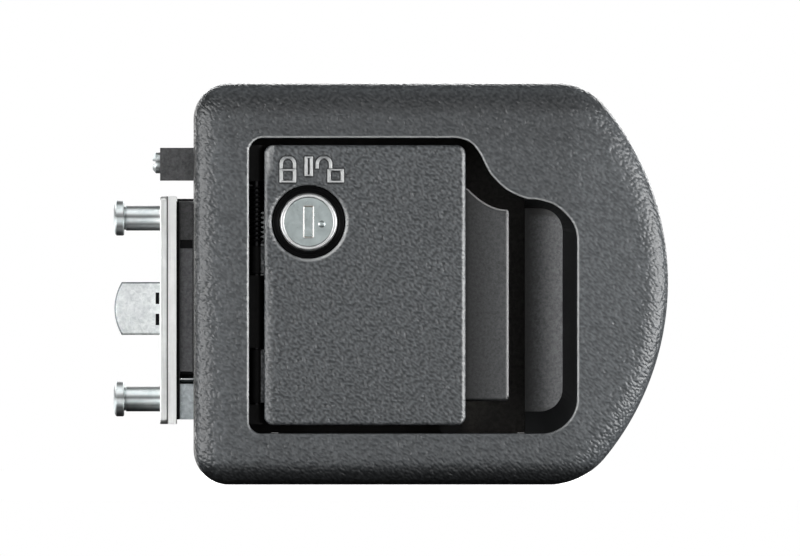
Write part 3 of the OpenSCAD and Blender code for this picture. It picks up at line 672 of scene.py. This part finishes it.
for x, dx in ((-39.8, 0.0), (-26.4, -3.3)):
    b0, b1 = lock_body(x, 32.0)
    raised(bm, b0, [b1], -8.3, -8.95)
    raised(bm, shackle(x + dx, 32.0), [], -8.3, -8.94)
raised(bm, rrect(-35.2, -32.7, 30, 35.9, 0.4, 4), [rrect(-34.18, -33.72, 30.8, 35.1, 0.15, 4)], -8.3, -8.95)
paddle = piece("paddle_look", bm, COAT_PADDLE, "paddle", ["paddle"], 46)
paddle.data.materials.append(STRIP)
paddle.data.materials.append(INSIDE_SHADE)
# Faces left of x -46.4 mm, in the hinge gap, get near-black painted shade; the flange gets the grip satin.
for f in paddle.data.polygons:
    c = f.center
    if c.x < -0.0464:
        f.material_index = 2
    elif c.y > -0.0047:
        f.material_index = 1

# ------------------------------------------------------------------ lock cylinder
bm = bmesh.new()
lathe_y(bm, CX, CZ, [(5.65, -7.3), (6.85, -7.3), (6.85, -8.6), (6.9, -8.76), (6.98, -8.86), (7.1, -8.9), (7.52, -8.9), (7.66, -8.87), (7.77, -8.78), (7.84, -8.62), (7.88, -8.4),
                     (7.9, -7.3), (8.0, -7.2), (8.1, -7.1), (8.1, -6.1), (8.0, -6.0), (7.6, -6.0), (7.6, 2.1), (6.9, 2.1), (6.9, 3.3), (7.6, 3.3), (7.6, 6.0), (7.4, 6.2), (5.65, 6.2)])
piece("cylinder_shell_look", bm, RIM, "paddle", ["cylinder_shell"], 50)
bm = bmesh.new()
lathe_y(bm, CX, CZ, [(8.15, -6.0), (8.15, -7.0), (8.2, -7.1), (8.5, -7.12), (8.75, -7.02), (8.95, -6.84), (9.15, -6.74), (9.35, -6.76),
                     (9.52, -6.9), (9.68, -7.1), (9.85, -7.2), (10.02, -7.18), (10.16, -7.05), (10.2, -6.9), (10.2, -6.0)])
piece("cylinder_collar_look", bm, COLLAR, "paddle", ["cylinder_collar"], 50)


def slot_rim(bm):
    """Raised rim round the key slot and the pin head beside it."""
    hole = rrect(CX - 1.2, CX + 1.2, CZ - 4.35, CZ + 4.35, 0.25, 4)
    rows = [(0.3, -8.5), (0.3, -8.71), (0.27, -8.78), (0.2, -8.82), (0.1, -8.82), (0.02, -8.78), (0.0, -8.7), (0.0, -8.45)]
    skin(bm, [ring(bm, at_y(grow(hole, d) if d else hole, y)) for d, y in rows], wrap=True)
    dome = [ring(bm, circle_y(CX + 3.7, CZ - 0.6, r, y, 32)) for r, y in ((0.98, -8.6), (0.98, -8.7), (0.93, -8.78), (0.78, -8.87), (0.55, -8.93), (0.25, -8.965))]
    skin(bm, dome)
    cap(bm, dome[-1])
    cap(bm, dome[0])


plug = refined("key_plug", FACE, "plug", 0.2, 2, extra=slot_rim)
plug.data.materials.append(EDGE)
for f in plug.data.polygons:
    c = f.center
    if c.y < -0.0084 and abs(c.x * 1000 - CX) < 1.7 and abs(c.z * 1000 - CZ) < 4.9 and (c.y < -0.00871 or abs(f.normal.y) < 0.2):
        f.material_index = 1
refined("dust_shutter", FACE, "shutter", 0.08)

# ------------------------------------------------------------------ the other pieces
pan = refined("recess_pan", SATIN, "body", 0.45, 3)
for m in (INSIDE_SHADE, BLOCK, SCOOP, SHELL):
    pan.data.materials.append(m)
RIMLINE = grow(OPEN, 0.9)


def within(pts, x, z):
    res = False
    for (x0, z0), (x1, z1) in zip(pts, pts[1:] + pts[:1]):
        if (z0 > z) != (z1 > z) and x < x0 + (x1 - x0) * (z - z0) / (z1 - z0):
            res = not res
    return res


# Pan faces: outside shell, hinge lugs, scoop, and near-black painted shade on the walls inside the opening.
for f in pan.data.polygons:
    c = f.center
    if f.normal.y > 0.5 and c.y > 0.004 or not within(RIMLINE, c.x * 1000, c.z * 1000) and c.x > -0.058:
        f.material_index = 4
    elif c.x < -0.058:
        f.material_index = 2
    elif 0.0265 < c.x < 0.0376 and c.y > 0.003 and -0.0364 < c.z < 0.0219 and f.normal.y < -0.8:
        f.material_index = 3
    elif -0.0520 < c.x < 0.0268 and -0.0424 < c.z < 0.0414 and c.y > -0.0050 and c.y < 0.0198:
        f.material_index = 1
refined("flange_gasket", RUBBER, "body", 0.2)
refined("pan_screws", ZINC, "body", 0.2)
cover = refined("back_cover", COVER, "body", 0.2)
cover.data.materials.append(SHELL)
for f in cover.data.polygons:
    if f.normal.y > 0.3 or f.center.y > 0.0206:
        f.material_index = 1
refined("cover_screws", ZINC, "body", 0.2)
refined("paddle_bumpers", RUBBER, "body", 0.25)
refined("hinge_pin", DARK_WIRE, "body", 0.2)
frame = refined("latch_frame", FRAME, "body", 0.22)
frame.data.materials.append(DARK_WIRE)
# Front faces of the latch frame beside the blocks are dark: painted shade.
for f in frame.data.polygons:
    if f.normal.y < -0.5 and f.center.x > -0.0705:
        f.material_index = 1
refined("frame_screws", ZINC, "body", 0.22)
refined("face_plate", PLATE, "body", 0.3, 3)
guide = refined("bolt_guide", GUIDE, "body", 0.3)
guide.data.materials.append(INSIDE_SHADE)
# The liner strip beside the plates is near-black: painted shade.
for f in guide.data.polygons:
    if f.center.x < -0.0703:
        f.material_index = 1
refined("upper_nut_block", BLOCK, "body", 0.3)
refined("lower_nut_block", ZINC_DULL, "body", 0.3)
refined("tie_rod", BRIGHT, "body", 0.2)
refined("edge_screws", SCREW, "body", 0.22)
refined("lug_screw", SCREW, "body", 0.2)
bolt = refined("bolt", ZINC_RAW, "bolt", 0.2, nose=0.6)
bolt.data.materials.append(INSIDE_SHADE)
bolt.data.materials.append(ZINC_NOSE_SHADE)
front = min(v.co.y for v in bolt.data.vertices)
# Painted shade: dark bevelled nose edge and near-black pockets at the bolt's root.
for f in bolt.data.polygons:
    c = f.center
    if c.y < front + 0.00062 and -0.97 < f.normal.y < -0.12 and (f.normal.x < -0.2 or f.normal.z > 0.2):
        f.material_index = 2
    elif -0.0771 < c.x < -0.0758 and 0.0098 < c.y < 0.0118 and -0.0118 < c.z < -0.0022:
        f.material_index = 1
refined("bolt_tail", ZINC, "bolt", 0.25)
refined("tail_rivets", ZINC, "bolt", 0.15)
refined("cylinder_clip", SPRING, "paddle", 0.12)
refined("slide_screws", BRIGHT, "paddle", 0.15)
refined("wafer_tumblers", BRASS, "plug", 0.08)
refined("tail_cam", ZINC, "plug", 0.2)
refined("cam_screw", ZINC, "plug", 0.2)
refined("lock_slide", ZINC, "slide", 0.25)
NODES["paddle_spring"].data.materials.clear()
NODES["paddle_spring"].data.materials.append(DARK_WIRE)

# compression spring with closed end turns, on its own copy of the mesh data
lo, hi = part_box("bolt_spring")
X0, X1, SY, SZ = lo[0] * 1000, hi[0] * 1000, (lo[1] + hi[1]) * 500, (lo[2] + hi[2]) * 500
WIRE, TURNS, STEPS = 0.4, 11, 26
bm = bmesh.new()
x, rows = X0 + WIRE, []
pitch = (X1 - X0 - 2 * WIRE - 2 * 0.85) / (TURNS - 2)
for i in range(TURNS * STEPS + 1):
    a = 2 * math.pi * i / STEPS
    rows.append(ring(bm, [(x + WIRE * math.sin(b), SY + (2.5 + WIRE * math.cos(b)) * math.cos(a), SZ + (2.5 + WIRE * math.cos(b)) * math.sin(a))
                          for b in [2 * math.pi * j / 12 for j in range(12)]]))
    turn = (i + 0.5) / STEPS
    x += (0.85 if turn < 1 or turn > TURNS - 1 else pitch) / STEPS
skin(bm, rows)
cap(bm, rows[0])
cap(bm, rows[-1])
coil = piece("bolt_spring_look", bm, SPRING, "body", ["bolt_spring"], 50, False)
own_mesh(coil)

# ------------------------------------------------------------------ floor, light, camera
bm = bmesh.new()
bmesh.ops.create_grid(bm, x_segments=8, y_segments=8, size=0.45)
me = bpy.data.meshes.new("floor")
bm.to_mesh(me)
bm.free()
floor = bpy.data.objects.new("floor", me)
floor.location = (0, 0, -0.0562)
SCENE.collection.objects.link(floor)
fm, ft, fb = shader("floor_pale")
ft.links.new(ramp(ft, noise(ft, coord(ft), 3, 3), [(0.3, (0.86, 0.86, 0.86)), (0.7, (0.92, 0.92, 0.92))]), fb.inputs["Base Color"])
fb.inputs["Roughness"].default_value = 0.7
fb.inputs["Emission Color"].default_value = (1, 1, 1, 1)
fb.inputs["Emission Strength"].default_value = 0.9
me.materials.append(fm)
floor.visible_diffuse = False
floor.visible_glossy = False


def softbox(name, loc, aim, w, h, watts, tone=(1, 1, 1), spread=180):
    li = bpy.data.lights.new(name, "AREA")
    li.shape = "RECTANGLE"
    li.size, li.size_y = w, h
    li.energy = watts
    li.color = tone
    li.spread = rad(spread)
    ob = bpy.data.objects.new(name, li)
    ob.location = loc
    ob.rotation_euler = (Vector(aim) - Vector(loc)).to_track_quat("-Z", "Y").to_euler()
    ob.visible_camera = False
    SCENE.collection.objects.link(ob)
    return ob


softbox("front", (0.0, -1.3, 0.02), (0, 0, 0), 1.5, 0.75, 2.4)
softbox("left", (-0.55, -0.52, 0.0), (0, -0.52, 0.0), 0.95, 0.42, 6.9)
softbox("right", (0.55, -0.37, 0.0), (0, -0.37, 0.0), 0.76, 0.42, 9.6)
softbox("hardware", (-0.086, -0.6, -0.004), (-0.086, 0, -0.004), 0.016, 0.11, 0.0002, spread=3)
softbox("hardware_top", (-0.084, -0.28, 0.52), (-0.084, 0.012, -0.007), 0.018, 0.09, 0.0013, spread=3)
softbox("rear", (0.15, 1.1, 0.45), (0, 0, 0), 1.3, 0.8, 16.0)
softbox("rear_side", (-0.75, 0.75, 0.1), (0, 0, 0), 0.5, 0.9, 5.0)

world = bpy.data.worlds.new("studio")
SCENE.world = world
world.use_nodes = True
wt = world.node_tree
wt.nodes.clear()
wo = wt.nodes.new("ShaderNodeOutputWorld")
seen = wt.nodes.new("ShaderNodeBackground")
seen.inputs["Color"].default_value = (1, 1, 1, 1)
seen.inputs["Strength"].default_value = 1.0
light = wt.nodes.new("ShaderNodeBackground")
tc = wt.nodes.new("ShaderNodeTexCoord")
sp = wt.nodes.new("ShaderNodeSeparateXYZ")
wt.links.new(tc.outputs["Generated"], sp.inputs["Vector"])
up = ramp(wt, span(wt, sp.outputs["Z"], 0, 1, -1, 1), [(0.0, (0.02, 0.02, 0.02)), (0.40, (0.05, 0.05, 0.05)), (0.5, (0.22, 0.22, 0.22)), (0.62, (0.22, 0.22, 0.22)), (1.0, (0.16, 0.16, 0.16))])
wt.links.new(up, light.inputs["Color"])
wt.links.new(span(wt, sp.outputs["Y"], 1.0, 0.45, -0.2, 0.4), light.inputs["Strength"])
lp = wt.nodes.new("ShaderNodeLightPath")
mx = wt.nodes.new("ShaderNodeMixShader")
wt.links.new(lp.outputs["Is Camera Ray"], mx.inputs["Fac"])
wt.links.new(light.outputs["Background"], mx.inputs[1])
wt.links.new(seen.outputs["Background"], mx.inputs[2])
wt.links.new(mx.outputs["Shader"], wo.inputs["Surface"])
SCENE.view_settings.view_transform = "Standard"
SCENE.view_settings.look = "None"

cd = bpy.data.cameras.new("camera")
cam = bpy.data.objects.new("camera", cd)
SCENE.collection.objects.link(cam)
DIST = 7.0
cam.location = (-0.0084, -DIST, 0.00168)
cam.rotation_euler = (rad(90), 0, 0)
cd.sensor_width = 36
cd.lens = 36 * (DIST - 0.0085) / 0.224
cd.clip_start, cd.clip_end = 0.05, 20
SCENE.camera = cam
